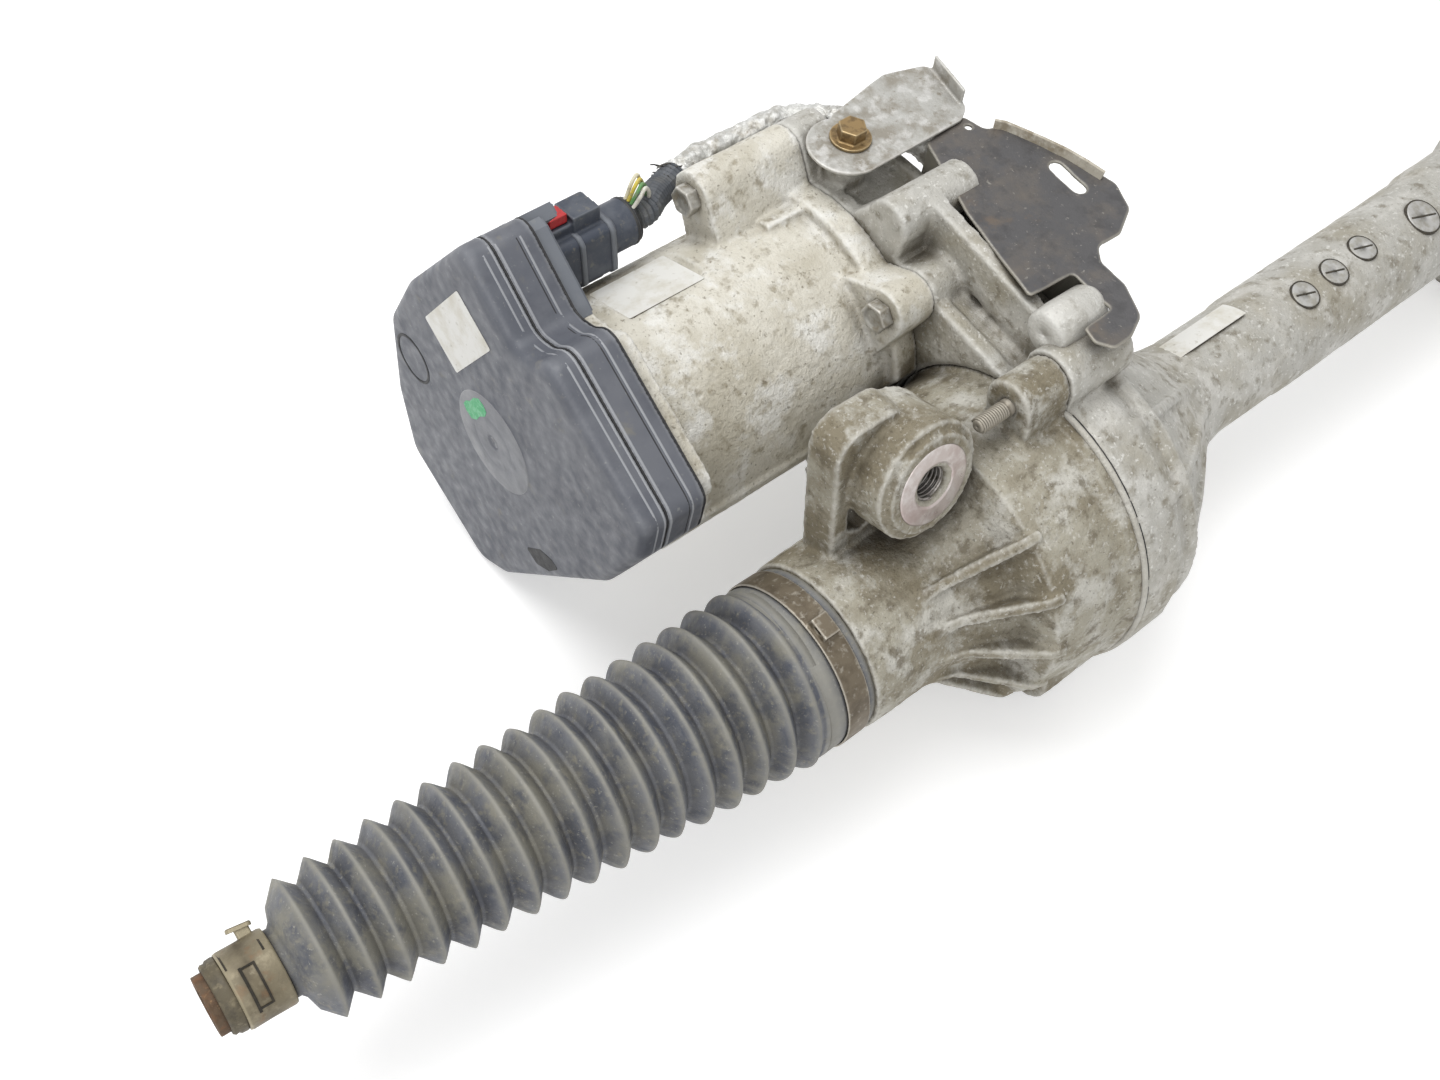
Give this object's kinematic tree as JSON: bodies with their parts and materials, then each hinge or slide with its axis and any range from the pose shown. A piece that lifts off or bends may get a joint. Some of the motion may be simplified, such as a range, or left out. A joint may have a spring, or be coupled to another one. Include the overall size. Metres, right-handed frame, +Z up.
{
  "type": "electric power steering gear",
  "caption": "Rack-and-pinion steering gear with a belt-driven ball nut, a motor and controller lying beside the rack, and a rubber boot at each end.",
  "frame": {"origin": "middle of the bounding box's underside, on the bench the gear lies on", "axes": "+X along the rack from the motor end to the pinion end, +Y from the rack towards the motor, +Z up, along the pinion's input shaft"},
  "size_m": [1.1904, 0.3092, 0.221],
  "materials": {
    "cast_left": "cast, dirty",
    "cast_right": "cast",
    "black_rubber": "matte",
    "motor_cast": "cast, rough",
    "copper_windings": "satin",
    "bearing_steel": "ground",
    "magnet_steel": "satin",
    "shaft_steel": "ground",
    "pulley_alloy": "machined",
    "dark_steel": "dull",
    "black_plastic": "matte",
    "board_green": "satin",
    "slate_plastic": "scuffed",
    "zinc_steel": "zinc plated",
    "red_plastic": "satin",
    "wire_cover": "satin",
    "conduit_plastic": "satin",
    "foil": "crumpled foil tape",
    "shield_sheet": "dull, stained",
    "gold_steel": "yellow zinc",
    "boot_rubber": "dusty",
    "clamp_steel": "olive, worn",
    "rusty_steel": "rusted"
  },
  "bodies": {
    "housing": {"ball_nut_housing": "cast_left", "rack_housing": "cast_right", "housing_seal": "black_rubber", "motor_housing": "motor_cast", "stator": "copper_windings", "motor_rear_bearing": "bearing_steel", "motor_front_bearing": "bearing_steel", "drive_belt": "black_rubber", "nut_bearing_outer": "bearing_steel", "bearing_lock_ring": "dark_steel", "rack_bush": "black_plastic", "pinion_lower_bearing": "bearing_steel", "pinion_upper_bearing": "bearing_steel", "torque_sensor": "board_green", "sensor_housing": "cast_right", "shaft_seal": "black_rubber", "yoke": "pulley_alloy", "yoke_spring": "dark_steel", "yoke_plug": "dark_steel", "controller_base": "slate_plastic", "controller_cover": "slate_plastic", "circuit_board": "board_green", "controller_screws": "zinc_steel", "signal_plug": "slate_plastic", "plug_lock": "red_plastic", "power_socket": "black_plastic", "plug_wires": "wire_cover", "conduit": "conduit_plastic", "foil_sleeve": "foil", "sensor_plug": "black_plastic", "heat_shield": "shield_sheet", "shield_clip": "zinc_steel", "shield_bolts": "gold_steel", "motor_bolts": "zinc_steel", "case_bolts": "zinc_steel", "locating_stud": "dark_steel", "mount_sleeve": "zinc_steel", "left_boot": "boot_rubber", "left_boot_band": "dark_steel", "left_boot_clamp": "clamp_steel", "left_cuff_ring": "rusty_steel", "right_boot": "boot_rubber", "right_boot_band": "dark_steel", "right_boot_clamp": "clamp_steel", "right_cuff_ring": "rusty_steel"},
    "rack": {"rack_bar": "shaft_steel"},
    "nut": {"ball_nut": "shaft_steel", "nut_balls": "bearing_steel", "nut_bearing_inner": "bearing_steel", "nut_pulley": "pulley_alloy"},
    "motor_rotor": {"rotor": "magnet_steel", "motor_shaft": "shaft_steel", "motor_pulley": "shaft_steel"},
    "input": {"pinion": "shaft_steel", "input_shaft": "shaft_steel"}
  },
  "joints": [
    {"name": "motor_spin", "type": "hinge", "parent": "housing", "child": "motor_rotor", "pos_m": [-0.2649, 0.05557, 0.10366], "axis": [1, 0, 0], "range_deg": [-10799.9, 10799.9]},
    {"name": "ball_nut_spin", "type": "hinge", "parent": "housing", "child": "nut", "pos_m": [-0.2249, -0.07559, 0.079], "axis": [1, 0, 0], "range_deg": [-3857.2, 3857.2]},
    {"name": "rack_slide", "type": "slide", "parent": "housing", "child": "rack", "axis": [1, 0, 0], "range_m": [-0.075, 0.075]},
    {"name": "pinion_spin", "type": "hinge", "parent": "housing", "child": "input", "pos_m": [0.2401, -0.05708, 0.079], "axis": [0, 0, 1], "range_deg": [-537.2, 537.2]}
  ],
  "couplings": [
    {"joint": "ball_nut_spin", "follows": "motor_spin", "ratio": 0.35714},
    {"joint": "rack_slide", "follows": "motor_spin", "m_per_rad": -0.00039789},
    {"joint": "pinion_spin", "follows": "motor_spin", "ratio": -0.049736}
  ]
}
